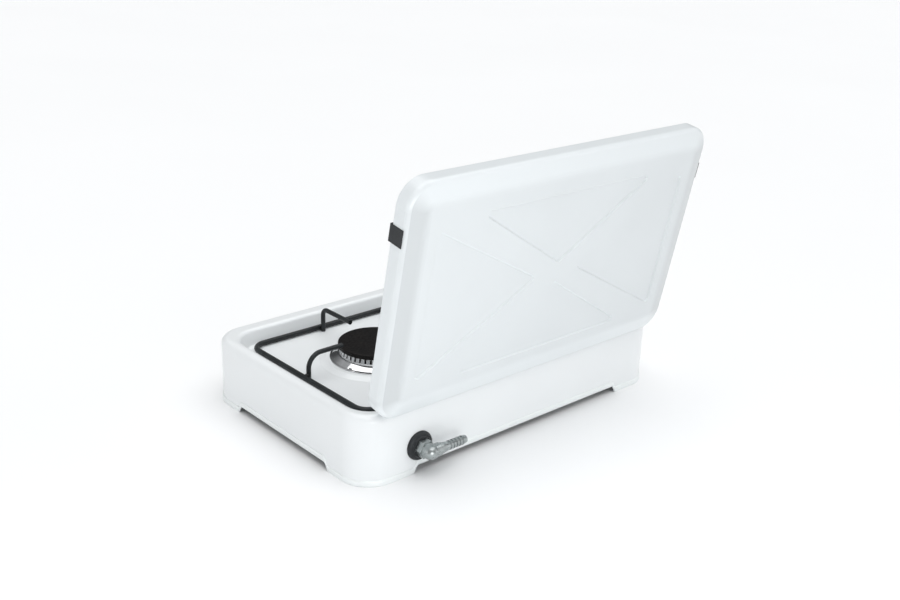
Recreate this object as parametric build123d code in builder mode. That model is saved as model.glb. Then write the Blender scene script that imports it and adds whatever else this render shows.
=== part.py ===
"""Two-burner camping stove with a hinged lid.

Millimetres, +Z up.  The origin is on the ground, in the middle of the space that the stove takes
with its lid open.  The knobs are at -Y, the lid's hinge and the gas inlet at +Y.
"""
from build123d import *
import os
from math import asin, cos, degrees, radians, sin, tan

os.makedirs("parts", exist_ok=True)

# ---------------------------------------------------------------- driving dimensions
SHEET = 1.0            # enamelled steel sheet
RUNNING = 0.05         # radial clearance of what turns or slides
REST = 0.1             # gap under what only lies in its place
WELD = 0.2             # how far welded wires sink into each other

BODY_L = 500.0
BODY_W = 320.0
BODY_H = 87.0          # top of the rim
FRONT = -178.0         # outside of the knob wall
BACK = FRONT + BODY_W
MID_Y = (FRONT + BACK) / 2
CORNER_R = 38.0
RIM_R = 9.0            # outer rounding of the rim
LIP_R = 6.0            # inner rounding of the rim
RIM_FLAT = 1.0         # level top between the two roundings
FRONT_RIM = 9.0        # how much wider the rim is at the front
HOB_Z = 68.0           # top of the sunken hob
SLOPE = 20.0           # the sunken wall's lean from the vertical, degrees

FOOT_ALONG_X = 74.0    # length of a corner foot along the long walls
FOOT_ALONG_Y = 65.0
FOOT_H = 9.5
FOOT_SLANT = 60        # slope of a foot's inner end, degrees

BURNER_X = 106.0
BURNER_Y = -20.0
DISH_Z = 71.5          # raised round seat under each burner
DISH_R = 62.0
TUBE_R = 9.0           # mixing tube
NECK_R = 43.5          # burner cup's neck, which comes up through the hob
FLANGE_R = 54.0        # burner cup's flange, under the hob
CROWN_Z = 75.0
CROWN_TOP = 86.0
SLOTS = 40
CROWN_IN = 38.0        # inside of the neck and of the crown
CAP_R = 47.0
CAP_TOP = 92.0         # edge of the cap's dome
DOME = 1.0             # rise of the dome
CAP_EDGE = 1.5         # rounding round the top of the cap
SCREW_R = 1.6
SCREW_OUT = 50.5       # burner screws' distance from the burner's middle

GAS_Z = 34.4           # feed pipe
TAP_Z = 46.0
RAIL_Y = -152.0
PIPE_R = 5.0
INLET_X = 168.7
INLET_R = 6.5          # threaded inlet
BUSH_R = 18.0
BUSH_OUT = 6.5         # how far the bush stands out from the rear wall
ELBOW_Y = BACK + 21.0
ELBOW_R = 9.2
GAS_R = 3.5            # bore of the inlet, the elbow and the tail
TAIL_R = 5.7           # over the barbs
BARBS = 5
BARB_PITCH = 4.6

GRATE_Z = 72.0         # middle of the frame wire
GRATE_X = 214.0
GRATE_Y = 118.5
GRATE_R = 3.5
FINGER_R = 3.0
FINGER_Z = 100.0       # middle of the wires that carry a pan
GRATE_CORNER_R = 19.0
TIP_OUT = 52.0         # finger tips' distance from the burner's middle
SHORT_BEND = 9.0       # bend of the fingers from the long rails
LONG_BEND = 18.0       # bend of the fingers across the stove

HINGE_Y = 130.5
HINGE_Z = 88.2
HINGE_OUT = 130.0      # hinges' distance from the middle
OPEN = 100.5           # how far the lid leans back from level, degrees
LID_L = 477.0
LID_W = 286.0
LID_EDGE = 1.3         # height of the flange's edge above the hinge axis
LID_FLANGE = 19.4      # height of the flange's top above the hinge axis
LID_RISE = 6.0         # how far the lid's top stands above its flange
LID_BEVEL = 24.0
LID_CORNER_R = 30.0
LID_ROUND = 6.0        # rounding between the flange and the bevel
PANEL_ROUND = 40.0     # soft rounding between the bevel and the flat panel
SINK = 1.8             # depth of the lid's sunken triangles
CROSS_V = -139.0       # middle of the raised cross, from the hinge towards the front
SIDE_TRIANGLE = ((31, 0), (198, 93), (198, -93))
END_TRIANGLE = ((0, 11.5), (142, 102), (-142, 102))
BUFFER_V = -226.0      # lid buffers, from the hinge towards the front
BUFFER_L = 20.0
BUFFER_IN = 2.5        # how far a buffer reaches inside the flange's outer face
BUFFER_OUT = 0.8       # and outside it
PIN_R = 1.25
KNUCKLE_R = 2.5
BODY_KNUCKLE = 4.9     # half length of the body's knuckle
LID_KNUCKLE = 5.2      # where the lid's two knuckles begin
HINGE_HALF = 10.0
NOTCH = 3.4            # what the knuckles need of the lid's flange, from the hinge axis

SIDES = {"left": -1, "right": 1}
CHAMBER_R = 4.0        # bore of the tap
CHAMBER_FRONT = -170.0
TAP_BACK = -138.0
PUSH = 3.0             # travel of a pushed knob
KNOB_R = 19.0
KNOB_DISC = 8.5        # thickness of the knob behind its grip
STEM_R = 3.0
PORT_R = 1.2           # gas ports of the pipe, the tap and its plug


def level(z, x=0.0, y=0.0):
    """A horizontal plane."""
    return Plane((x, y, z))


def upright(x, y):
    """A vertical plane: local x is a radius along +X and local y is height."""
    return Plane(origin=(x, y, 0), x_dir=(1, 0, 0), z_dir=(0, -1, 0))


def facing_back(x, y, z):
    """A plane square to Y, whose normal is +Y."""
    return Plane(origin=(x, y, z), x_dir=(1, 0, 0), z_dir=(0, 1, 0))


def facing_right(x, y, z):
    """A plane square to X, whose normal is +X and whose local x is +Y."""
    return Plane(origin=(x, y, z), x_dir=(0, 1, 0), z_dir=(1, 0, 0))


def lid_plane(height, along=0.0):
    """A plane parallel to the lid's top, at a height above the hinge axis when the lid is shut."""
    lean = radians(OPEN)
    hinge = Plane((along, HINGE_Y, HINGE_Z), x_dir=(1, 0, 0), z_dir=(0, sin(lean), cos(lean)))
    return hinge.offset(height)


def edges_on(form, plane):
    """The edges of a form that lie in a plane."""
    return form.edges().filter_by(lambda e: abs(plane.to_local_coords(e.center()).Z) < 0.01)


def save(piece, name):
    piece.part.label = name
    export_step(piece.part, f"parts/{name}.step")


# ---------------------------------------------------------------- body
def tray(inset):
    """The pressed tray's outside, or its inside when inset is the sheet's thickness."""
    turn = tan(radians(45 - SLOPE / 2))
    margin = RIM_R + RIM_FLAT + LIP_R * turn
    well_l = BODY_L - 2 * margin + 2 * inset * turn
    well_w = BODY_W - 2 * margin - FRONT_RIM + 2 * inset * turn
    well_r = CORNER_R - 4 + inset * turn
    with BuildPart() as form:
        with BuildSketch(level(-inset, 0, MID_Y)):
            RectangleRounded(BODY_L - 2 * inset, BODY_W - 2 * inset, CORNER_R - inset)
        extrude(amount=BODY_H)
        with BuildSketch(level(BODY_H - inset, 0, MID_Y + FRONT_RIM / 2)):
            RectangleRounded(well_l, well_w, well_r)
        extrude(amount=-(BODY_H - HOB_Z), taper=SLOPE, mode=Mode.SUBTRACT)
        top = form.faces().filter_by(GeomType.PLANE).sort_by(Axis.Z)[-1]
        fillet(top.outer_wire().edges(), RIM_R - inset)
        top = form.faces().filter_by(GeomType.PLANE).sort_by(Axis.Z)[-1]
        fillet(top.inner_wires()[0].edges(), LIP_R - inset)
        hob = form.faces().filter_by(GeomType.PLANE).filter_by(Axis.Z)
        hob = hob.filter_by(lambda f: abs(f.center().Z - HOB_Z + inset) < 0.01)
        fillet(hob.edges(), 3 + inset)
        for side in SIDES.values():
            with BuildSketch(level(HOB_Z - inset - 1, side * BURNER_X, BURNER_Y)):
                Circle(DISH_R + 10)
            with BuildSketch(level(DISH_Z - inset, side * BURNER_X, BURNER_Y)):
                Circle(DISH_R)
            loft()
    return form.part


outside = tray(0)
inside = tray(SHEET)

with BuildPart() as body_shell:
    add(outside)
    add(inside, mode=Mode.SUBTRACT)
    # the raised bottom edge between the corner feet
    slant = 2 * FOOT_H / tan(radians(FOOT_SLANT))
    for plane, span in (
        (upright(0, 0), BODY_L - 2 * FOOT_ALONG_X),
        (facing_right(0, MID_Y, 0), BODY_W - 2 * FOOT_ALONG_Y),
    ):
        with BuildSketch(plane) as gap:
            Trapezoid(span + slant, 2 * FOOT_H, FOOT_SLANT)
            fillet(gap.vertices().group_by(Axis.Y)[-1], 4)
        extrude(amount=BODY_L, both=True, mode=Mode.SUBTRACT)
    # burner and screw holes
    for side in SIDES.values():
        with BuildSketch(level(HOB_Z - 5, side * BURNER_X, BURNER_Y)):
            Circle(NECK_R)
            with Locations((SCREW_OUT, 0), (-SCREW_OUT, 0)):
                Circle(SCREW_R)
        extrude(amount=10, mode=Mode.SUBTRACT)
        with BuildSketch(facing_back(side * BURNER_X, FRONT - 1, TAP_Z)):
            Circle(INLET_R)
        extrude(amount=4, mode=Mode.SUBTRACT)
        # slot in the rear rim for the hinge's knuckles
        with BuildSketch(level(BODY_H, side * HINGE_OUT, HINGE_Y)):
            Rectangle(2 * HINGE_HALF + 2.4, 8)
        extrude(amount=-7, mode=Mode.SUBTRACT)
    with BuildSketch(facing_back(INLET_X, BACK - 3, GAS_Z)):
        Circle(INLET_R)
    extrude(amount=6, mode=Mode.SUBTRACT)
save(body_shell, "body_shell")


# ---------------------------------------------------------------- pan support
with BuildSketch(level(GRATE_Z, 0, BURNER_Y)) as loop:
    RectangleRounded(2 * GRATE_X, 2 * GRATE_Y, GRATE_CORNER_R)
rail_route = loop.sketch.wires()[0]

with BuildPart() as grate_frame:
    with BuildSketch(Plane(origin=rail_route @ 0, z_dir=rail_route % 0)):
        Circle(GRATE_R)
    sweep(path=rail_route)
save(grate_frame, "grate_frame")

FRONT_RAIL = BURNER_Y - GRATE_Y
BACK_RAIL = BURNER_Y + GRATE_Y

with BuildPart() as grate_cross_wire:
    with BuildSketch(facing_back(0, FRONT_RAIL + GRATE_R - WELD, GRATE_Z)):
        Circle(FINGER_R)
    extrude(amount=2 * (GRATE_Y - GRATE_R + WELD))
save(grate_cross_wire, "grate_cross_wire")


def finger(foot, tip, bend):
    """A wire that stands on the hob at foot and bends over towards tip."""
    start = (foot[0], foot[1], HOB_Z + REST)
    corner = (foot[0], foot[1], FINGER_Z)
    with BuildPart() as wire:
        with BuildLine() as route:
            FilletPolyline(start, corner, (tip[0], tip[1], FINGER_Z), radius=bend)
        with BuildSketch(Plane(origin=start, z_dir=(0, 0, 1))):
            Circle(FINGER_R)
        sweep(path=route.line)
    return wire.part


FOOT_IN = GRATE_R + FINGER_R - WELD
for side, sign in SIDES.items():
    x = sign * BURNER_X
    routes = (
        ((x, FRONT_RAIL + FOOT_IN), (x, BURNER_Y - TIP_OUT), SHORT_BEND),
        ((x, BACK_RAIL - FOOT_IN), (x, BURNER_Y + TIP_OUT), SHORT_BEND),
        ((sign * (GRATE_X - FOOT_IN), BURNER_Y), (x + sign * TIP_OUT, BURNER_Y), LONG_BEND),
        ((sign * (2 * FINGER_R - WELD), BURNER_Y), (x - sign * TIP_OUT, BURNER_Y), LONG_BEND),
    )
    wires = [finger(*route) for route in routes]
    with BuildPart() as grate_fingers:
        for wire in wires:
            add(wire)
    save(grate_fingers, f"grate_fingers_{side}")


# ---------------------------------------------------------------- burners
for side, sign in SIDES.items():
    x = sign * BURNER_X
    middle = Axis((x, BURNER_Y, 0), (0, 0, 1))
    bottom = GAS_Z
    floor = bottom + 2.5
    flange_top = DISH_Z - SHEET
    flange_under = flange_top - 2

    with BuildPart() as burner_cup:
        with BuildSketch(upright(x, BURNER_Y)):
            with BuildLine():
                Polyline(
                    (0, bottom),
                    (30, bottom),
                    (30, 58),
                    (43, 66),
                    (43, flange_under),
                    (FLANGE_R, flange_under),
                    (FLANGE_R, flange_top),
                    (NECK_R, flange_top),
                    (NECK_R, CROWN_Z),
                    (CROWN_IN, CROWN_Z),
                    (CROWN_IN, 66.5),
                    (27.5, 59),
                    (27.5, floor),
                    (0, floor),
                    close=True,
                )
            make_face()
        revolve(axis=middle)
        # socket for the mixing tube
        with BuildSketch(facing_back(x, BURNER_Y - 50, TAP_Z)):
            Circle(11.2)
        extrude(amount=22.2)
        with BuildSketch(facing_back(x, BURNER_Y - 50, TAP_Z)):
            Circle(TUBE_R)
        extrude(amount=18, mode=Mode.SUBTRACT)
        with BuildSketch(facing_back(x, BURNER_Y - 33, TAP_Z)):
            Circle(TUBE_R - SHEET)
        extrude(amount=10, mode=Mode.SUBTRACT)
        with BuildSketch(level(flange_top - 3, x, BURNER_Y)):
            with Locations((SCREW_OUT, 0), (-SCREW_OUT, 0)):
                Circle(SCREW_R)
        extrude(amount=4, mode=Mode.SUBTRACT)
    save(burner_cup, f"burner_cup_{side}")

    with BuildPart() as burner_crown:
        with BuildSketch(upright(x, BURNER_Y)):
            with BuildLine():
                Polyline(
                    (CROWN_IN, CROWN_Z),
                    (45.5, CROWN_Z),
                    (45.5, 78.2),
                    (44.8, 78.8),
                    (43.6, CROWN_TOP),
                    (CROWN_IN, CROWN_TOP),
                    close=True,
                )
            make_face()
        revolve(axis=middle)
        with BuildSketch(level(79.5, x, BURNER_Y)):
            with PolarLocations(41.5, SLOTS):
                Rectangle(11, 2.4)
        extrude(amount=8, mode=Mode.SUBTRACT)
    save(burner_crown, f"burner_crown_{side}")

    under = CROWN_TOP + REST
    side_top = CAP_TOP - CAP_EDGE
    dome_edge = CAP_R - CAP_EDGE
    dome_r = (dome_edge**2 + DOME**2) / (2 * DOME)
    dome_turn = degrees(asin(dome_edge / dome_r))
    with BuildPart() as burner_cap:
        with BuildSketch(upright(x, BURNER_Y)):
            with BuildLine():
                dome = CenterArc((0, CAP_TOP + DOME - dome_r), dome_r, 90 - dome_turn, dome_turn)
                # from the middle, round the skirt that centres the cap in the crown
                Polyline(dome @ 1, (0, under), (35.4, under), (35.4, 81), (37.4, 81), (37.4, under))
                Polyline((37.4, under), (CAP_R - 0.6, under), (CAP_R, under + 0.6), (CAP_R, side_top))
                RadiusArc((CAP_R, side_top), dome @ 0, -CAP_EDGE)
            make_face()
        revolve(axis=middle)
    save(burner_cap, f"burner_cap_{side}")

    with BuildPart() as burner_ring:
        with BuildSketch(upright(x, BURNER_Y)):
            with BuildLine():
                Polyline(
                    (46, 77.2),
                    (47, 77.4),
                    (50.5, 75.4),
                    (54.5, 73.4),
                    (57.3, 72.6),
                    (57.5, DISH_Z),
                    (56.6, DISH_Z),
                    (56.5, 71.9),
                    (54.2, 72.6),
                    (50.1, 74.6),
                    (46.8, 76.5),
                    (46, 76.3),
                    close=True,
                )
            make_face()
        revolve(axis=middle)
    save(burner_ring, f"burner_ring_{side}")

    with BuildPart() as burner_screws:
        with BuildSketch(level(flange_top - 4, x, BURNER_Y)):
            with Locations((SCREW_OUT, 0), (-SCREW_OUT, 0)):
                Circle(SCREW_R)
        extrude(amount=4 + SHEET)
        with BuildSketch(level(DISH_Z, x, BURNER_Y)):
            with Locations((SCREW_OUT, 0), (-SCREW_OUT, 0)):
                Circle(2.8)
        extrude(amount=1.6)
    save(burner_screws, f"burner_screws_{side}")

    # mixing tube: bell mouth, throat and widening tail
    gas_line = Axis((x, 0, TAP_Z), (0, 1, 0))
    tube_end = BURNER_Y - 33
    with BuildPart() as mixing_tube:
        with BuildSketch(level(TAP_Z, x)):
            with BuildLine():
                Polyline(
                    (10.6, -131),
                    (11.5, -131),
                    (8, -121),
                    (8, -112),
                    (TUBE_R, -72),
                    (TUBE_R, tube_end),
                    (TUBE_R - SHEET, tube_end),
                    (TUBE_R - SHEET, -72),
                    (7, -112),
                    (7, -121),
                    close=True,
                )
            make_face()
        revolve(axis=gas_line)
    save(mixing_tube, f"mixing_tube_{side}")


# ---------------------------------------------------------------- gas taps
for side, sign in SIDES.items():
    x = sign * BURNER_X
    wall = FRONT + SHEET
    nose = FRONT - 5.2
    gas_line = Axis((x, 0, TAP_Z), (0, 1, 0))

    with BuildPart() as tap_body:
        with BuildSketch(facing_back(x, wall, TAP_Z)):
            Circle(8.5)
        extrude(amount=TAP_BACK - wall)
        with BuildSketch(facing_back(x, nose, TAP_Z)):
            Circle(INLET_R)
        extrude(amount=wall - nose)
        with BuildSketch(level(GAS_Z, x, RAIL_Y)):
            Circle(4.6)
        extrude(amount=TAP_Z - GAS_Z)
        with BuildSketch(facing_right(x - 10, RAIL_Y, GAS_Z)):
            Circle(PIPE_R)
        extrude(amount=20, mode=Mode.SUBTRACT)
        with BuildSketch(facing_back(x, CHAMBER_FRONT, TAP_Z)):
            Circle(CHAMBER_R)
        extrude(amount=TAP_BACK - CHAMBER_FRONT, mode=Mode.SUBTRACT)
        with BuildSketch(facing_back(x, nose, TAP_Z)):
            Circle(STEM_R + RUNNING)
        extrude(amount=CHAMBER_FRONT - nose, mode=Mode.SUBTRACT)
        with BuildSketch(level(GAS_Z, x, RAIL_Y)):
            Circle(PORT_R)
        extrude(amount=TAP_Z - GAS_Z - 2, mode=Mode.SUBTRACT)
    save(tap_body, f"tap_body_{side}")

    with BuildPart() as tap_nut:
        with BuildSketch(facing_back(x, FRONT, TAP_Z)):
            RegularPolygon(8.2, 6, major_radius=False)
            Circle(INLET_R, mode=Mode.SUBTRACT)
        extrude(amount=-3.2)
    save(tap_nut, f"tap_nut_{side}")

    plug_front = CHAMBER_FRONT + PUSH + 0.5
    with BuildPart() as tap_plug:
        with BuildSketch(facing_back(x, plug_front, TAP_Z)):
            Circle(CHAMBER_R - RUNNING)
        extrude(amount=TAP_BACK - 5.2 - plug_front)
        with BuildSketch(facing_back(x, plug_front, TAP_Z)):
            Rectangle(2.2, 10)
        extrude(amount=6, mode=Mode.SUBTRACT)
        with BuildSketch(level(TAP_Z - 5, x, RAIL_Y)):
            Circle(PORT_R)
        extrude(amount=5, mode=Mode.SUBTRACT)
    save(tap_plug, f"tap_plug_{side}")

    knob_back = FRONT - PUSH - 0.5
    knob_front = FRONT - 23.5
    stem_front = knob_front + 3.5
    stem_back = CHAMBER_FRONT - 0.2
    with BuildPart() as tap_stem:
        with BuildSketch(facing_back(x, stem_front, TAP_Z)):
            Circle(STEM_R)
        extrude(amount=stem_back - stem_front)
        # the tongue that turns the plug
        with BuildSketch(facing_back(x, stem_back, TAP_Z)):
            Rectangle(2, 5)
        extrude(amount=PUSH + 3)
        # the flat that turns the stem
        with BuildSketch(level(TAP_Z + 2, x, stem_front + 6)):
            Rectangle(8, 12)
        extrude(amount=2, mode=Mode.SUBTRACT)
    save(tap_stem, f"tap_stem_{side}")

    with BuildPart() as knob:
        with BuildSketch(facing_back(x, knob_back, TAP_Z)):
            Circle(KNOB_R)
        extrude(amount=-KNOB_DISC)
        with BuildSketch(facing_back(x, knob_back - KNOB_DISC, TAP_Z)):
            SlotOverall(33, 10, rotation=90)
        extrude(amount=knob_front - knob_back + KNOB_DISC)
        fillet(knob.faces().filter_by(GeomType.PLANE).sort_by(Axis.Y)[0].edges(), 1.5)
        disc_rim = knob.edges().filter_by(GeomType.CIRCLE).filter_by(lambda e: e.radius > KNOB_R - 0.1)
        fillet(disc_rim.sort_by(Axis.Y)[0], 1.2)
        with BuildSketch(facing_back(x, knob_back, TAP_Z)):
            Circle(14)
        extrude(amount=-6, mode=Mode.SUBTRACT)
    with BuildPart() as knob_bored:
        add(knob.part)
        add(tap_stem.part, mode=Mode.SUBTRACT)
    save(knob_bored, f"knob_{side}")

    with BuildPart() as jet:
        with BuildSketch(level(TAP_Z, x)):
            with BuildLine():
                Polyline(
                    (1.2, TAP_BACK - 5),
                    (CHAMBER_R, TAP_BACK - 5),
                    (CHAMBER_R, TAP_BACK + 1),
                    (3.4, TAP_BACK + 4),
                    (1.4, TAP_BACK + 10),
                    (0.4, TAP_BACK + 10),
                    (0.4, TAP_BACK + 8),
                    (1.2, TAP_BACK + 7),
                    close=True,
                )
            make_face()
        revolve(axis=gas_line)
        with BuildSketch(facing_back(x, TAP_BACK, TAP_Z)):
            RegularPolygon(5, 6, major_radius=False)
            Circle(CHAMBER_R - 1, mode=Mode.SUBTRACT)
        extrude(amount=3.5)
    save(jet, f"jet_{side}")


# ---------------------------------------------------------------- gas inlet
pipe_start = -BURNER_X - 12
pipe_end = BACK - 9
with BuildPart() as gas_pipe:
    with BuildLine() as route:
        FilletPolyline(
            (pipe_start, RAIL_Y, GAS_Z),
            (INLET_X, RAIL_Y, GAS_Z),
            (INLET_X, pipe_end, GAS_Z),
            radius=16,
        )
    with BuildSketch(facing_right(pipe_start, RAIL_Y, GAS_Z)):
        Circle(PIPE_R)
        Circle(PIPE_R - 1, mode=Mode.SUBTRACT)
    sweep(path=route.line)
    for sign in SIDES.values():
        with BuildSketch(level(GAS_Z, sign * BURNER_X, RAIL_Y)):
            Circle(PORT_R)
        extrude(amount=PIPE_R + 1, mode=Mode.SUBTRACT)
save(gas_pipe, "gas_pipe")

with BuildPart() as pipe_plug:
    with BuildSketch(facing_right(pipe_start - 3, RAIL_Y, GAS_Z)):
        Circle(PIPE_R)
    extrude(amount=3)
    with BuildSketch(facing_right(pipe_start, RAIL_Y, GAS_Z)):
        Circle(PIPE_R - 1)
    extrude(amount=4)
save(pipe_plug, "pipe_plug")

nipple_start = pipe_end - 6
nipple_end = BACK + 13
with BuildPart() as inlet_nipple:
    with BuildSketch(facing_back(INLET_X, nipple_start, GAS_Z)):
        Circle(INLET_R)
        Circle(GAS_R, mode=Mode.SUBTRACT)
    extrude(amount=nipple_end - nipple_start)
    with BuildSketch(facing_back(INLET_X, nipple_start, GAS_Z)):
        Circle(PIPE_R)
    extrude(amount=pipe_end - nipple_start, mode=Mode.SUBTRACT)
save(inlet_nipple, "inlet_nipple")

with BuildPart() as inlet_lock_nut:
    with BuildSketch(facing_back(INLET_X, BACK - SHEET, GAS_Z)):
        RegularPolygon(9.5, 6, major_radius=False)
        Circle(INLET_R, mode=Mode.SUBTRACT)
    extrude(amount=-4)
save(inlet_lock_nut, "inlet_lock_nut")

bush_end = BACK + BUSH_OUT
with BuildPart() as inlet_bush:
    with BuildSketch(level(GAS_Z, INLET_X)):
        with BuildLine():
            Polyline((INLET_R, BACK), (BUSH_R, BACK), (BUSH_R, BACK + 1.5))
            ThreePointArc((BUSH_R, BACK + 1.5), (16.2, BACK + 4), (13.5, BACK + 4.8))
            Polyline((13.5, BACK + 4.8), (12.5, bush_end), (INLET_R, bush_end), (INLET_R, BACK))
        make_face()
    revolve(axis=Axis((INLET_X, 0, GAS_Z), (0, 1, 0)))
save(inlet_bush, "inlet_bush")

elbow_end = INLET_X - 12
hex_end = bush_end + 8.5
with BuildPart() as inlet_elbow:
    with BuildSketch(facing_back(INLET_X, bush_end, GAS_Z)):
        RegularPolygon(9.8, 6, major_radius=False)
    extrude(amount=hex_end - bush_end)
    with BuildSketch(facing_back(INLET_X, hex_end, GAS_Z)):
        Circle(ELBOW_R)
    extrude(amount=ELBOW_Y - hex_end)
    with BuildSketch(facing_right(elbow_end, ELBOW_Y, GAS_Z)):
        Circle(8)
    extrude(amount=INLET_X - elbow_end)
    with Locations((INLET_X, ELBOW_Y, GAS_Z)):
        Sphere(ELBOW_R)
    with BuildSketch(facing_back(INLET_X, bush_end, GAS_Z)):
        Circle(INLET_R)
    extrude(amount=nipple_end - bush_end, mode=Mode.SUBTRACT)
    with BuildSketch(facing_back(INLET_X, nipple_end, GAS_Z)):
        Circle(GAS_R)
    extrude(amount=ELBOW_Y - nipple_end, mode=Mode.SUBTRACT)
    with BuildSketch(facing_right(elbow_end, ELBOW_Y, GAS_Z)):
        Circle(GAS_R)
    extrude(amount=INLET_X - elbow_end, mode=Mode.SUBTRACT)
save(inlet_elbow, "inlet_elbow")

neck_end = elbow_end - 15
barbs_end = neck_end - BARBS * BARB_PITCH
tail_end = barbs_end - 2
neck_r = 4.9
with BuildPart() as hose_tail:
    with BuildSketch(level(GAS_Z, 0, ELBOW_Y)):
        with BuildLine():
            Polyline((elbow_end, GAS_R), (elbow_end, 6.6), (elbow_end - 4, 6.6), (neck_end, neck_r))
            for barb in range(BARBS):
                root = neck_end - barb * BARB_PITCH
                Polyline((root, neck_r), (root, TAIL_R), (root - BARB_PITCH, neck_r))
            Polyline((barbs_end, neck_r), (tail_end, 4.6), (tail_end, GAS_R), (elbow_end, GAS_R))
        make_face()
    revolve(axis=Axis((0, ELBOW_Y, GAS_Z), (1, 0, 0)))
save(hose_tail, "hose_tail")


# ---------------------------------------------------------------- lid
LID_MID = -LID_W / 2
triangles = []
for sign in SIDES.values():
    triangles.append([(sign * u, CROSS_V + v) for u, v in SIDE_TRIANGLE])
    triangles.append([(u, CROSS_V + sign * v) for u, v in END_TRIANGLE])


def lid_form(inset):
    """The pressed lid's outside, or its inside when inset is the sheet's thickness."""
    outer_l = LID_L - 2 * inset
    outer_w = LID_W - 2 * inset
    top = LID_FLANGE + LID_RISE - inset
    edge = LID_EDGE - inset
    panel_l = LID_L - 2 * LID_BEVEL
    panel_w = LID_W - 2 * LID_BEVEL
    grow = inset * tan(radians(22.5))
    with BuildPart() as form:
        with BuildSketch(lid_plane(edge)):
            with Locations((0, LID_MID)):
                RectangleRounded(outer_l, outer_w, LID_CORNER_R - inset)
        extrude(amount=LID_FLANGE - inset - edge)
        with BuildSketch(lid_plane(LID_FLANGE - inset)):
            with Locations((0, LID_MID)):
                RectangleRounded(outer_l, outer_w, LID_CORNER_R - inset)
        with BuildSketch(lid_plane(top)):
            with Locations((0, LID_MID)):
                RectangleRounded(panel_l, panel_w, LID_CORNER_R - LID_BEVEL + 4)
        loft()
        fillet(edges_on(form.part, lid_plane(LID_FLANGE - inset)), LID_ROUND - inset)
        fillet(edges_on(form.part, lid_plane(top)), PANEL_ROUND - inset)
        # four sunken triangles leave a raised cross
        for triangle in triangles:
            with BuildSketch(lid_plane(top)) as sunk:
                with BuildLine():
                    Polyline(*triangle, close=True)
                make_face()
                fillet(sunk.vertices(), 5)
                if inset:
                    offset(amount=grow)
            extrude(amount=-SINK, taper=45, mode=Mode.SUBTRACT)
    return form.part


lid_outside = lid_form(0)
lid_inside = lid_form(SHEET)

with BuildPart() as lid_shell:
    add(lid_outside)
    add(lid_inside, mode=Mode.SUBTRACT)
    with BuildSketch(lid_plane(0)):
        with Locations((HINGE_OUT, 0), (-HINGE_OUT, 0)):
            Rectangle(2 * HINGE_HALF + 2, 4)
    extrude(amount=NOTCH, mode=Mode.SUBTRACT)
save(lid_shell, "lid_shell")

# plastic clips that grip the flange, tall outside it and short inside
for side, sign in SIDES.items():
    edge_x = sign * LID_L / 2
    with BuildPart() as lid_buffer:
        with BuildSketch(lid_plane(-2.2)):
            with Locations((edge_x + sign * (BUFFER_OUT - BUFFER_IN) / 2, BUFFER_V)):
                Rectangle(BUFFER_IN + BUFFER_OUT, BUFFER_L)
        extrude(amount=20.4)
        # the slot that holds the flange
        with BuildSketch(lid_plane(LID_EDGE)):
            with Locations((edge_x - sign * SHEET / 2, BUFFER_V)):
                Rectangle(SHEET, BUFFER_L + 2)
        extrude(amount=20, mode=Mode.SUBTRACT)
        # inside the flange the clip is shorter
        with BuildSketch(lid_plane(10)):
            with Locations((edge_x - sign * BUFFER_IN, BUFFER_V)):
                Rectangle(4, BUFFER_L + 2)
        extrude(amount=10, mode=Mode.SUBTRACT)
    save(lid_buffer, f"lid_buffer_{side}")


# ---------------------------------------------------------------- hinges
def knuckle(middle, start, stop, bore):
    """A tube on the hinge axis, from start to stop beside the hinge's middle."""
    with BuildPart() as tube:
        with BuildSketch(facing_right(middle + start, HINGE_Y, HINGE_Z)):
            Circle(KNUCKLE_R)
            Circle(bore, mode=Mode.SUBTRACT)
        extrude(amount=stop - start)
    return tube.part


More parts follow.
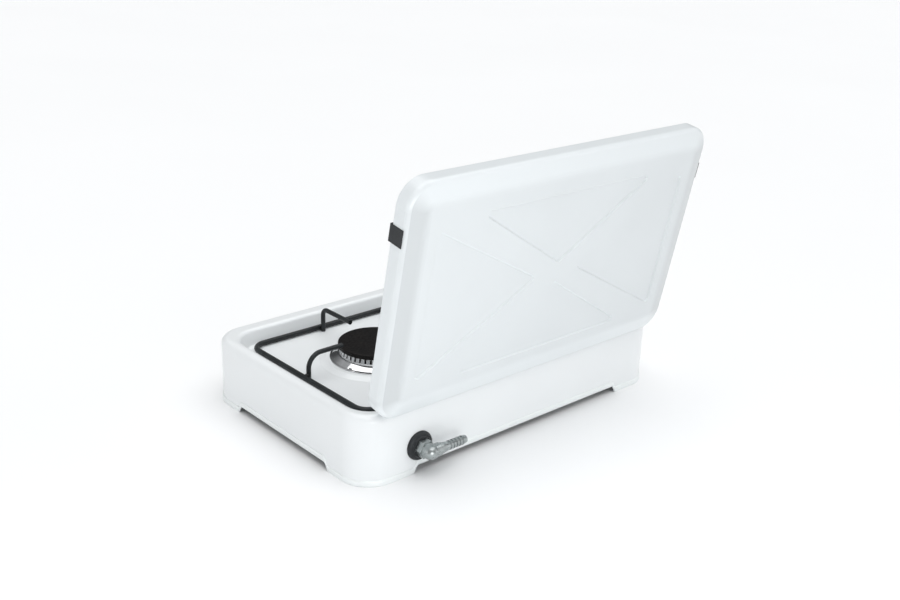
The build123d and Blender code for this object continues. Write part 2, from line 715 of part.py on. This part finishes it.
for side, sign in SIDES.items():
    x = sign * HINGE_OUT
    with BuildPart() as hinge_pin:
        with BuildSketch(facing_right(x - HINGE_HALF - 0.5, HINGE_Y, HINGE_Z)):
            Circle(PIN_R)
        extrude(amount=2 * HINGE_HALF + 1)
    save(hinge_pin, f"hinge_pin_{side}")

    body_tube = knuckle(x, -BODY_KNUCKLE, BODY_KNUCKLE, PIN_R)
    wall_in = BACK - SHEET
    plate_y = HINGE_Y + KNUCKLE_R - SHEET
    with BuildPart() as hinge_bracket:
        with BuildSketch(facing_right(x - BODY_KNUCKLE, 0, 0)):
            with BuildLine():
                Polyline(
                    (plate_y, HINGE_Z),
                    (plate_y, 69),
                    (wall_in - SHEET, 69),
                    (wall_in - SHEET, 44),
                    (wall_in, 44),
                    (wall_in, 70),
                    (plate_y + SHEET, 70),
                    (plate_y + SHEET, HINGE_Z),
                    close=True,
                )
            make_face()
        extrude(amount=2 * BODY_KNUCKLE)
        with BuildSketch(facing_right(x - BODY_KNUCKLE, HINGE_Y, HINGE_Z)):
            Circle(PIN_R)
        extrude(amount=2 * BODY_KNUCKLE, mode=Mode.SUBTRACT)
        add(body_tube)
    save(hinge_bracket, f"hinge_bracket_{side}")

    lid_tubes = [
        knuckle(x, -HINGE_HALF, -LID_KNUCKLE, PIN_R + RUNNING),
        knuckle(x, LID_KNUCKLE, HINGE_HALF, PIN_R + RUNNING),
    ]
    with BuildPart() as hinge_leaf:
        with BuildSketch(lid_plane(0, x)):
            with Locations((0, (-KNUCKLE_R - SHEET) / 2)):
                Rectangle(2 * HINGE_HALF, KNUCKLE_R - SHEET)
        extrude(amount=13)
        with BuildSketch(lid_plane(0, x)):
            Rectangle(2 * LID_KNUCKLE, 10)
        extrude(amount=NOTCH, mode=Mode.SUBTRACT)
        with BuildSketch(facing_right(x - HINGE_HALF, HINGE_Y, HINGE_Z)):
            Circle(PIN_R + RUNNING)
        extrude(amount=2 * HINGE_HALF, mode=Mode.SUBTRACT)
        for tube in lid_tubes:
            add(tube)
    save(hinge_leaf, f"hinge_leaf_{side}")
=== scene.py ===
# %% [markdown]
# # A two-burner camping stove
#
# The stove is a pressed steel tray with white enamel, a lid pressed from the same sheet, a black
# wire pan support and two small burners. The shapes are already made: every part arrives as a
# mesh in metres, standing where it belongs. This lesson gives each part its finish, adds the small
# things that a maker's hands and machines leave behind, and lights the stove on a pale floor.

# %% Load the stove
import bmesh
import bpy
from math import cos, pi, radians, sin
from mathutils import Matrix, Vector


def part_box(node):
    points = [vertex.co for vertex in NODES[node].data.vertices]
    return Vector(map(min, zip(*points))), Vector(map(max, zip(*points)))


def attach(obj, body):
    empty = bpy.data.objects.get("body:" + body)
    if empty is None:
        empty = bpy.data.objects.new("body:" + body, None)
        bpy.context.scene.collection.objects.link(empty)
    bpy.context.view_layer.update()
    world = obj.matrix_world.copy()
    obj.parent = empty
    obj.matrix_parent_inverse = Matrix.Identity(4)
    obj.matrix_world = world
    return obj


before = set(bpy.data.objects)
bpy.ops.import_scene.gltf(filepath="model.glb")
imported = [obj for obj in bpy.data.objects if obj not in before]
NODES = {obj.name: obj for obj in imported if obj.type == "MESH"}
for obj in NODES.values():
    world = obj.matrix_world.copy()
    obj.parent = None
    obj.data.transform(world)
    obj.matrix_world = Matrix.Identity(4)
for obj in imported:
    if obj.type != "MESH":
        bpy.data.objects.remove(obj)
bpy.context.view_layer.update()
SIDES = ("left", "right")

# %% [markdown]
# ## Camera and light
#
# The stove is seen from behind its right-hand end, a little from above, so that the open lid's
# outside fills the view. A camera can be aimed by hand, but three angles say the same thing and
# stay readable: how far round it stands, how high it looks down, and how much it leans.

# %% Camera
AROUND = 137.7
ABOVE = 21.2
ROLL = 2.0
LENS = 45.23
STANDPOINT = (0.918, 1.0094, 0.6581)

around, above, roll = radians(AROUND), radians(ABOVE), radians(ROLL)
back = Vector((sin(around) * cos(above), -cos(around) * cos(above), sin(above)))
right = (-back).cross(Vector((0, 0, 1))).normalized()
up = right.cross(-back)
leaning_right = right * cos(roll) + up * sin(roll)
leaning_up = up * cos(roll) - right * sin(roll)

camera_data = bpy.data.cameras.new("camera")
camera_data.lens = LENS
camera_data.clip_start = 0.01
camera = bpy.data.objects.new("camera", camera_data)
turn = Matrix((leaning_right, leaning_up, back)).transposed().to_4x4()
camera.matrix_world = Matrix.Translation(STANDPOINT) @ turn
bpy.context.scene.collection.objects.link(camera)
bpy.context.scene.camera = camera
print("camera stands", round(camera.location.length, 2), "m from the origin")

# %% [markdown]
# White enamel shows its shape only where the light changes across it. A broad overhead sun, made
# soft by a very large disc, lights every level face and the floor evenly to the horizon. Two weaker
# suns stand far to either side of the camera: one lights mainly the long back wall, the other the
# short end wall. A small lamp close to the near corner makes both walls brightest there.

# %% Studio
def sun(name, towards, wide, strength):
    """A soft sun that stands in a direction from the stove. Wide is its disc's angle in degrees."""
    data = bpy.data.lights.new(name, "SUN")
    data.angle = radians(wide)
    data.energy = strength
    lamp = bpy.data.objects.new(name, data)
    lamp.rotation_euler = Vector(towards).to_track_quat("Z", "Y").to_euler()
    bpy.context.scene.collection.objects.link(lamp)


sun("overhead", (-0.1, 0.05, 1.0), 80, 2.1)
sun("long_wall", (-0.75, 0.65, 0.2), 40, 0.3)
sun("short_wall", (0.9, -0.35, 0.2), 40, 0.36)

corner_data = bpy.data.lights.new("near_corner", "AREA")
corner_data.size = 0.5
corner_data.energy = 3.4
corner_lamp = bpy.data.objects.new("near_corner", corner_data)
corner_lamp.location = (0.55, 1.0, 0.1)
corner_lamp.rotation_euler = Vector((0.5, 0.86, 0.12)).to_track_quat("Z", "Y").to_euler()
bpy.context.scene.collection.objects.link(corner_lamp)
bpy.context.scene.view_settings.view_transform = "Standard"

# %% [markdown]
# The world fills the shadows. In a studio the space behind the object is not lit, and polished
# metal shows that as dark streaks, so the world is darker low down behind the stove.

# %% World
world = bpy.data.worlds.new("studio")
world.use_nodes = True
sky = world.node_tree
sky.nodes["Background"].inputs["Strength"].default_value = 0.40
direction = sky.nodes.new("ShaderNodeTexCoord")
behind = sky.nodes.new("ShaderNodeVectorMath")
behind.operation = "DOT_PRODUCT"
behind.inputs[1].default_value = (-0.45, -0.85, -0.25)
sky.links.new(direction.outputs["Generated"], behind.inputs[0])
ramp = sky.nodes.new("ShaderNodeValToRGB")
ramp.color_ramp.elements[0].position = 0.45
ramp.color_ramp.elements[0].color = (0.97, 0.985, 1.0, 1)
ramp.color_ramp.elements[1].position = 0.8
ramp.color_ramp.elements[1].color = (0.18, 0.185, 0.19, 1)
sky.links.new(behind.outputs["Value"], ramp.inputs["Fac"])
sky.links.new(ramp.outputs["Color"], sky.nodes["Background"].inputs["Color"])
bpy.context.scene.world = world
print("world:", world.name)

# %% [markdown]
# The floor is a wide plain sheet. It is so large that its edge is out of sight from above, and is
# a level horizon from low down.

# %% Floor sheet
FLOOR_TONE = (0.93, 0.935, 0.94)
far = 60.0
floor_mesh = bpy.data.meshes.new("floor")
corners = [(-far, -far, 0), (far, -far, 0), (far, far, 0), (-far, far, 0)]
floor_mesh.from_pydata(corners, [], [(0, 1, 2, 3)])
floor = bpy.data.objects.new("floor", floor_mesh)
bpy.context.scene.collection.objects.link(floor)
print("floor:", 2 * far, "m wide")

# %% [markdown]
# ## Tools for finishes
#
# Each finish is one material with a Principled shader. Real finishes are never one flat colour, so
# a few helpers bring in slow noise for tone, fine noise for gloss, and bumps for the surface. They
# read the object's own coordinates, which here are metres on the stove.

# %% Finish helpers
def finish(name, colour, roughness, metallic=0.0):
    """A new material: returns it with its node tree and its Principled shader."""
    material = bpy.data.materials.new(name)
    material.use_nodes = True
    tree = material.node_tree
    shader = tree.nodes["Principled BSDF"]
    shader.inputs["Base Color"].default_value = (*colour, 1)
    shader.inputs["Roughness"].default_value = roughness
    shader.inputs["Metallic"].default_value = metallic
    return material, tree, shader


ASKEW = (0.4, 0.7, 0.2)


def places(tree):
    """Coordinates on the stove, in metres, turned askew so that no face lies along the noise's grid."""
    where = tree.nodes.new("ShaderNodeTexCoord")
    mapping = tree.nodes.new("ShaderNodeMapping")
    mapping.inputs["Rotation"].default_value = ASKEW
    tree.links.new(where.outputs["Object"], mapping.inputs["Vector"])
    return mapping.outputs["Vector"]


def noise(tree, per_metre, detail=3.0):
    """A noise whose grain has about so many lumps to a metre."""
    node = tree.nodes.new("ShaderNodeTexNoise")
    node.inputs["Scale"].default_value = per_metre
    node.inputs["Detail"].default_value = detail
    tree.links.new(places(tree), node.inputs["Vector"])
    return node.outputs["Fac"]


def remap(tree, value, low, high, to_low, to_high):
    """Stretches the part of a value between low and high to a new range, clamped."""
    node = tree.nodes.new("ShaderNodeMapRange")
    for socket, number in zip(("From Min", "From Max", "To Min", "To Max"), (low, high, to_low, to_high)):
        node.inputs[socket].default_value = number
    tree.links.new(value, node.inputs["Value"])
    return node.outputs["Result"]


def blend_colours(tree, amount, first, second):
    """First colour where amount is 0, second where it is 1. Either may be a socket or three numbers."""
    node = tree.nodes.new("ShaderNodeMix")
    node.data_type = "RGBA"
    tree.links.new(amount, node.inputs["Factor"])
    for socket, colour in ((node.inputs[6], first), (node.inputs[7], second)):
        if isinstance(colour, tuple):
            socket.default_value = (*colour, 1)
        else:
            tree.links.new(colour, socket)
    return node.outputs[2]


def bump(tree, shader, height, depth):
    """Raises the surface by height, a value from 0 to 1, times depth in metres, over earlier bumps."""
    node = tree.nodes.new("ShaderNodeBump")
    node.inputs["Distance"].default_value = depth
    node.inputs["Strength"].default_value = 1.0
    tree.links.new(height, node.inputs["Height"])
    earlier = shader.inputs["Normal"].links
    if earlier:
        tree.links.new(earlier[0].from_socket, node.inputs["Normal"])
    tree.links.new(node.outputs["Normal"], shader.inputs["Normal"])


def soften_edges(tree, shader, radius):
    """Rounds sharp edges in the shading only, as a thick coat of enamel or a tumbled casting does."""
    node = tree.nodes.new("ShaderNodeBevel")
    node.samples = 4
    node.inputs["Radius"].default_value = radius
    tree.links.new(node.outputs["Normal"], shader.inputs["Normal"])


def edges(tree, radius):
    """1 on sharp edges and 0 on flat faces: where the rounded normal leaves the true one."""
    bevel = tree.nodes.new("ShaderNodeBevel")
    bevel.samples = 4
    bevel.inputs["Radius"].default_value = radius
    true = tree.nodes.new("ShaderNodeNewGeometry")
    dot = tree.nodes.new("ShaderNodeVectorMath")
    dot.operation = "DOT_PRODUCT"
    tree.links.new(bevel.outputs["Normal"], dot.inputs[0])
    tree.links.new(true.outputs["True Normal"], dot.inputs[1])
    return remap(tree, dot.outputs["Value"], 0.75, 0.99, 1, 0)


def wear(material, *names):
    """Puts a finish on CAD parts, as their only material."""
    for name in names:
        slots = NODES[name].data.materials
        slots.clear()
        slots.append(material)
    print(material.name, "on", len(names), "parts")


# %% [markdown]
# ## White enamel
#
# The body and the lid are steel dipped in white vitreous enamel and fired. The glass is thick
# enough to flow, so it is glossy, rounds over every sharp edge, and stays a little wavy, like the
# skin of an orange. A coat layer over a rougher base gives the deep shine of glass on white. The
# waves must be long and very shallow: on a white face even a small bump shows as a dark speck.

# %% White enamel
def facing(tree, axis):
    """How far a face turns towards an axis of the stove: 1 towards it, 0 square to it."""
    normal = tree.nodes.new("ShaderNodeTexCoord")
    apart = tree.nodes.new("ShaderNodeSeparateXYZ")
    tree.links.new(normal.outputs["Normal"], apart.inputs["Vector"])
    return apart.outputs[axis]


def calculate(tree, operation, first, second=None):
    """One sum with one or two values."""
    node = tree.nodes.new("ShaderNodeMath")
    node.operation = operation
    tree.links.new(first, node.inputs[0])
    if second is not None:
        tree.links.new(second, node.inputs[1])
    return node.outputs["Value"]


def white_enamel(name, tone, rounding):
    material, tree, shader = finish(name, tone, 0.32)
    shader.inputs["Coat Weight"].default_value = 0.35
    shader.inputs["Coat Roughness"].default_value = 0.12
    shader.inputs["IOR"].default_value = 1.5
    soften_edges(tree, shader, rounding)
    slow = remap(tree, noise(tree, 9, 2), 0.3, 0.7, 0, 1)
    duller = tuple(0.975 * c for c in tone)
    tree.links.new(blend_colours(tree, slow, tone, duller), shader.inputs["Base Color"])
    tree.links.new(remap(tree, noise(tree, 30, 1), 0.3, 0.7, 0.28, 0.36), shader.inputs["Roughness"])
    bump(tree, shader, noise(tree, 40, 0), 0.00004)
    return material, tree, shader


body_enamel, tree, shader = white_enamel("white_enamel", (0.84, 0.865, 0.875), 0.001)
wear(body_enamel, "body_shell")

# %% [markdown]
# The lid is the same white enamel, but with its own tones: the whole lid is coloured greyer than the
# body.
# On the real stove the open lid looks greyer than the body, its slanted ends greyer still and its long
# edges lighter, and soft lamps alone don't give that spread. So shade and light are painted into the
# colour by the direction each face points in: painted shade on the slanted ends and a painted
# highlight on the long edges. The coordinates are the lid's own, so the painted tones stay in place
# when the lid is shut. The slanted ends are the faces that lean a little to either side, and a pair of
# remaps picks that band of lean.

# %% Lid enamel with painted shade and highlight
LID_TONE = (0.70, 0.735, 0.75)
lid_enamel_and_painted_light, tree, shader = white_enamel("lid_enamel_and_painted_light", LID_TONE, 0.0008)
coat = shader.inputs["Base Color"].links[0].from_socket
# Painted shade: the slanted ends, faces that lean a little to either side, are coloured greyer.
lean = calculate(tree, "ABSOLUTE", facing(tree, "X"))
leans_enough = remap(tree, lean, 0.03, 0.2, 0, 1)
leans_little = remap(tree, lean, 0.26, 0.34, 1, 0)
ends = calculate(tree, "MULTIPLY", leans_enough, leans_little)
PAINTED_SHADE_TONE = tuple(0.84 * c for c in LID_TONE)
coat = blend_colours(tree, ends, coat, PAINTED_SHADE_TONE)
# Painted highlight: faces along the long edges that turn up, or well down, are coloured lighter.
rise = facing(tree, "Z")
upper_edge = remap(tree, rise, -0.15, 0.03, 0, 1)
lower_edge = remap(tree, rise, -0.22, -0.38, 0, 1)
painted_highlight_edges = calculate(tree, "MAXIMUM", upper_edge, lower_edge)
PAINTED_HIGHLIGHT_TONE = tuple(min(0.86, 1.09 * c) for c in LID_TONE)
coat = blend_colours(tree, painted_highlight_edges, coat, PAINTED_HIGHLIGHT_TONE)
tree.links.new(coat, shader.inputs["Base Color"])
wear(lid_enamel_and_painted_light, "lid_shell")

# %% [markdown]
# ## Black enamel on the wires
#
# The pan support is bent and welded from round wire, then dipped in black enamel. The dip leaves
# a semi-gloss coat with small lumps.

# %% Wires
def black_enamel():
    material, tree, shader = finish("black_enamel", (0.012, 0.015, 0.016), 0.3)
    shader.inputs["Specular IOR Level"].default_value = 0.35
    slow = remap(tree, noise(tree, 70, 3), 0.35, 0.7, 0, 1)
    colour = blend_colours(tree, slow, (0.009, 0.011, 0.012), (0.018, 0.022, 0.024))
    tree.links.new(colour, shader.inputs["Base Color"])
    tree.links.new(remap(tree, noise(tree, 240, 3), 0.3, 0.7, 0.32, 0.5), shader.inputs["Roughness"])
    bump(tree, shader, noise(tree, 420, 3), 0.00012)
    return material


wires = [name for name in NODES if name.startswith("grate_")]
wear(black_enamel(), *wires)

# %% [markdown]
# ## Burner cap
#
# The cap is a pressed disc with a matt black coat that takes the heat of the flame. Its sharp rim
# gets a painted highlight: the colour turns a lighter brown on the edge. A second Bevel node finds
# that edge: where its rounded normal leaves the true one, there is an edge.

# %% Burner cap
def cap_enamel():
    material, tree, shader = finish("cap_enamel", (0.007, 0.006, 0.006), 0.5)
    shader.inputs["Specular IOR Level"].default_value = 0.12
    slow = remap(tree, noise(tree, 50, 3), 0.35, 0.7, 0, 1)
    colour = blend_colours(tree, slow, (0.006, 0.0055, 0.0055), (0.010, 0.0085, 0.008))
    # Painted highlight: the sharp rim is coloured a lighter brown.
    painted_rim_highlight = remap(tree, edges(tree, 0.0012), 0, 1, 0, 0.7)
    tree.links.new(blend_colours(tree, painted_rim_highlight, colour, (0.16, 0.13, 0.12)), shader.inputs["Base Color"])
    tree.links.new(remap(tree, noise(tree, 300, 3), 0.3, 0.7, 0.4, 0.6), shader.inputs["Roughness"])
    bump(tree, shader, noise(tree, 900, 3), 0.00006)
    return material


wear(cap_enamel(), "burner_cap_left", "burner_cap_right")

# %% [markdown]
# ## Bright metals
#
# The burner is cast aluminium, the ring round it polished steel, the gas fittings zinc-plated
# steel and brass. They differ mainly in colour, in how rough they are and in the grain of their
# skin, so one helper makes them all from those few numbers.

# %% Bright metals
def metal(name, colour, roughness, lumps, depth):
    material, tree, shader = finish(name, colour, roughness, 1.0)
    soften_edges(tree, shader, 0.0004)
    slow = remap(tree, noise(tree, 60, 3), 0.3, 0.7, 0, 1)
    darker = tuple(0.8 * c for c in colour)
    tree.links.new(blend_colours(tree, slow, colour, darker), shader.inputs["Base Color"])
    gloss = remap(tree, noise(tree, 200, 3), 0.3, 0.7, 0.8 * roughness, 1.25 * roughness)
    tree.links.new(gloss, shader.inputs["Roughness"])
    bump(tree, shader, noise(tree, lumps, 3), depth)
    return material


ALUMINIUM = metal("cast_aluminium", (0.72, 0.73, 0.74), 0.35, 700, 0.00008)
POLISHED = metal("polished_steel", (0.78, 0.79, 0.80), 0.08, 300, 0.00001)
ZINC = metal("zinc_plated", (0.40, 0.43, 0.43), 0.3, 600, 0.00006)
BRASS = metal("brass", (0.72, 0.53, 0.26), 0.3, 500, 0.00003)
STEEL = metal("steel", (0.5, 0.5, 0.5), 0.38, 500, 0.00003)

wear(ALUMINIUM, *(f"{part}_{side}" for part in ("burner_cup", "burner_crown") for side in SIDES))
wear(POLISHED, *(f"burner_ring_{side}" for side in SIDES))
wear(ZINC, "inlet_nipple", "inlet_lock_nut", "inlet_elbow", "hose_tail")
wear(ZINC, *(f"{part}_{side}" for part in ("burner_screws", "tap_nut") for side in SIDES))
wear(BRASS, *(f"{part}_{side}" for part in ("tap_body", "tap_plug", "jet") for side in SIDES))
wear(STEEL, "gas_pipe", "pipe_plug")
wear(STEEL, *(f"{part}_{side}" for part in ("mixing_tube", "tap_stem") for side in SIDES))
wear(STEEL, *(f"hinge_{part}_{side}" for part in ("bracket", "leaf", "pin") for side in SIDES))

# %% [markdown]
# ## Black plastic
#
# The knobs, the inlet bush and the lid's buffers are moulded in black. A moulded skin has a fine
# even grain, and its edges are slightly round because the mould's own corners are.

# %% Black plastic
def black_plastic():
    material, tree, shader = finish("black_plastic", (0.016, 0.018, 0.02), 0.42)
    shader.inputs["Specular IOR Level"].default_value = 0.35
    soften_edges(tree, shader, 0.0006)
    slow = remap(tree, noise(tree, 90, 3), 0.3, 0.7, 0, 1)
    colour = blend_colours(tree, slow, (0.014, 0.016, 0.018), (0.021, 0.024, 0.027))
    tree.links.new(colour, shader.inputs["Base Color"])
    tree.links.new(remap(tree, noise(tree, 900, 3), 0.3, 0.7, 0.38, 0.55), shader.inputs["Roughness"])
    bump(tree, shader, noise(tree, 1400, 2), 0.00004)
    return material


PLASTIC = black_plastic()
wear(PLASTIC, "inlet_bush", *(f"{part}_{side}" for part in ("lid_buffer", "knob") for side in SIDES))

# %% [markdown]
# ## The rolled bottom edge
#
# The bottom edge of the pressed body is folded back on itself, so that it is stiff and not sharp.
# From outside the fold shows as a slightly raised band that follows the corner feet and the gaps
# between them. One way is to slide a thin band's outline around the body. Here the outline is
# walked in small steps, and at each step a short arc of points is set outwards from the wall.

# %% Path around the body
HALF_LENGTH, HALF_WIDTH = 0.25, 0.16
MIDDLE = Vector((0, -0.018, 0))
CORNER = 0.038


def around_body(step):
    """Points around the body's outside with their outward directions, counter-clockwise."""
    path = []
    for quarter in range(4):
        length, width = (HALF_LENGTH, HALF_WIDTH) if quarter % 2 == 0 else (HALF_WIDTH, HALF_LENGTH)
        turn = Matrix.Rotation(quarter * pi / 2, 3, "Z")
        run = 2 * (width - CORNER)
        for i in range(int(run / step)):
            along = -width + CORNER + (i + 0.5) * run / int(run / step)
            path.append((turn @ Vector((length, along, 0)), turn @ Vector((1, 0, 0))))
        centre = Vector((length - CORNER, width - CORNER, 0))
        for i in range(13):
            angle = i / 12 * pi / 2
            out = Vector((cos(angle), sin(angle), 0))
            path.append((turn @ (centre + CORNER * out), turn @ out))
    return [(MIDDLE + place, out) for place, out in path]


# %% [markdown]
# The height of the edge depends only on how far the place is from the middle of its wall: on the
# ground at the feet, raised between them, with a short slant in between.

# %% Height of the bottom edge
GAP_X, GAP_Y = 0.176, 0.095
RAISED = 0.0095
SLANT = RAISED / 1.732


def edge_height(place, out):
    """Height of the body's bottom edge at a place on its wall."""
    across_x = abs(out.y) > abs(out.x)
    distance = abs(place.x) if across_x else abs(place.y - MIDDLE.y)
    gap = GAP_X if across_x else GAP_Y
    return RAISED * min(1.0, max(0.0, (gap - distance) / SLANT))


LOWER_HEM = ((0.0002, -0.0001), (0.0008, 0.0001), (0.0011, 0.0012))
UPPER_HEM = ((0.0011, 0.0058), (0.0008, 0.0067), (0.0, 0.0074))
HEM = LOWER_HEM + UPPER_HEM
hem = bmesh.new()
rows = []
for place, out in around_body(0.002):
    foot = edge_height(place, out)
    row = []
    for reach, rise in HEM:
        lift = Vector((0, 0, foot + max(0.0, rise)))
        row.append(hem.verts.new(place + out * reach + lift))
    rows.append(row)
for row, following in zip(rows, rows[1:] + rows[:1]):
    for i in range(len(HEM) - 1):
        hem.faces.new((row[i], following[i], following[i + 1], row[i + 1]))
print("hem:", len(rows), "steps around the body")

# %% [markdown]
# A mesh built point by point has to become an object and be told which body it belongs to. Riding
# on the body makes it move with it, if it moves at all.

# %% Ride helper
def ride(mesh, name, body, material, smooth=True):
    """Turns a bmesh into an object that rides on a body."""
    bmesh.ops.recalc_face_normals(mesh, faces=mesh.faces)
    data = bpy.data.meshes.new(name)
    mesh.to_mesh(data)
    mesh.free()
    data.materials.append(material)
    for face in data.polygons:
        face.use_smooth = smooth
    piece = bpy.data.objects.new(name, data)
    bpy.context.scene.collection.objects.link(piece)
    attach(piece, body)
    print(name, "has", len(data.polygons), "faces and rides on", body)


ride(hem, "bottom_hem", "stove", bpy.data.materials["white_enamel"])

# %% [markdown]
# ## Welds on the pan support
#
# Each finger is spot welded to the rail beside it, and a little metal squeezes out of the joint.
# A plain sphere would look like a ball bearing, so each bead is pulled along the joint and made
# uneven before it gets the same black enamel as the wires.

# %% Weld beads
BURNER_X, BURNER_Y = 0.106, -0.020
RAIL_X, RAIL_Y = 0.214, 0.1185
RAIL_Z = 0.072
BEAD_RADIUS = 0.0017
INWARDS = 0.0034
HEIGHTS = (-0.0022, 0.0026)


def bead(mesh, place, along, seed):
    """An uneven lump of weld, nearly twice as long as it is wide."""
    made = bmesh.ops.create_icosphere(mesh, subdivisions=3, radius=1.0)["verts"]
    long_way = Vector(along).normalized()
    for vert in made:
        v = vert.co.copy()
        uneven = 1 + 0.12 * sin(5 * v.x + seed) * cos(4 * v.y - seed) + 0.06 * sin(9 * v.z + 2 * seed)
        stretched = v + long_way * v.dot(long_way) * 0.9
        vert.co = Vector(place) + stretched * BEAD_RADIUS * uneven


welds = bmesh.new()
count = 0
for sign in (-1, 1):
    for end in (-1, 1):
        for height in HEIGHTS:
            spot = (sign * BURNER_X, BURNER_Y + end * (RAIL_Y - INWARDS), RAIL_Z + height)
            bead(welds, spot, (1, 0, 0.2), count)
            count += 1
    for out in (INWARDS, RAIL_X - INWARDS):
        for height in HEIGHTS:
            bead(welds, (sign * out, BURNER_Y, RAIL_Z + height), (0, 1, 0.2), count)
            count += 1
print(count, "weld beads")
ride(welds, "weld_beads", "pan_support", bpy.data.materials["black_enamel"])

# %% [markdown]
# ## Knob marks
#
# A knob needs a pointer, or nobody can tell whether the gas is shut. It is a thin white bar let
# into the end of the grip. It rides on the knob, so it turns with it.

# %% Printing inks
def print_ink(name, colour):
    material, tree, shader = finish(name, colour, 0.5)
    worn = remap(tree, noise(tree, 900, 3), 0.35, 0.75, 0, 1)
    duller = tuple(0.8 * c for c in colour)
    tree.links.new(blend_colours(tree, worn, colour, duller), shader.inputs["Base Color"])
    tree.links.new(remap(tree, noise(tree, 400, 2), 0.3, 0.7, 0.4, 0.6), shader.inputs["Roughness"])
    bump(tree, shader, noise(tree, 1500, 2), 0.00002)
    return material


WHITE_INK = print_ink("white_ink", (0.78, 0.79, 0.78))
BLACK_INK = print_ink("black_ink", (0.02, 0.02, 0.022))


def tablet(mesh, place, half_x, half_z, thick, points=24):
    """A flat rounded tablet on a wall that faces -Y: an ellipse with a small step."""
    rings = []
    for shrink, depth in ((1.0, 0.0), (1.0, -thick), (0.9, -1.3 * thick)):
        ring = []
        for i in range(points):
            angle = 2 * pi * i / points
            offset = Vector((half_x * shrink * cos(angle), depth, half_z * shrink * sin(angle)))
            ring.append(mesh.verts.new(Vector(place) + offset))
        rings.append(ring)
    for low, high in zip(rings, rings[1:]):
        for i in range(points):
            mesh.faces.new((low[i], low[(i + 1) % points], high[(i + 1) % points], high[i]))
    mesh.faces.new(rings[-1])


# %% Pointers
POINTER = (0.0009, 0.0042, 0.00015)
for side in SIDES:
    low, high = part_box(f"knob_{side}")
    pointer = bmesh.new()
    middle = (low + high) / 2
    tablet(pointer, (middle.x, low.y + 0.00002, middle.z + 0.0095), *POINTER)
    ride(pointer, f"pointer_{side}", f"knob_{side}", WHITE_INK, smooth=False)
print("pointers stand on the grips' ends, at y =", round(low.y, 4))

# %% [markdown]
# On the body's front wall a row of dots grows around one side of each knob. A small dot means a
# small flame and a large dot a large one, in any language.

# %% Flame dots
DOTS = 8
DOT_CIRCLE = 0.0255
KNOB_Z = 0.046
FRONT_WALL = MIDDLE.y - HALF_WIDTH + 0.00001
dots = bmesh.new()
for sign in (-1, 1):
    for i in range(DOTS):
        angle = pi * (0.12 + 0.76 * i / (DOTS - 1)) + pi / 2
        radius = 0.0006 + 0.00022 * i
        place_x = sign * BURNER_X + DOT_CIRCLE * cos(angle)
        place = (place_x, FRONT_WALL, KNOB_Z + DOT_CIRCLE * sin(angle))
        tablet(dots, place, radius, radius, 0.00004, 20)
ride(dots, "flame_dots", "stove", BLACK_INK, smooth=False)

# %% [markdown]
# ## Floor
#
# The floor is almost white and matt, so that it only carries the soft shadow under the stove. Its
# tone drifts slowly by one part in a hundred, which keeps it from looking like empty paper.

# %% Floor
def pale_floor():
    material, tree, shader = finish("pale_floor", FLOOR_TONE, 0.8)
    slow = remap(tree, noise(tree, 1.5, 2), 0.3, 0.7, 0, 1)
    tone = blend_colours(tree, slow, FLOOR_TONE, (0.92, 0.925, 0.93))
    tree.links.new(tone, shader.inputs["Base Color"])
    return material


floor_mesh.materials.append(pale_floor())
print("floor wears", floor_mesh.materials[0].name)
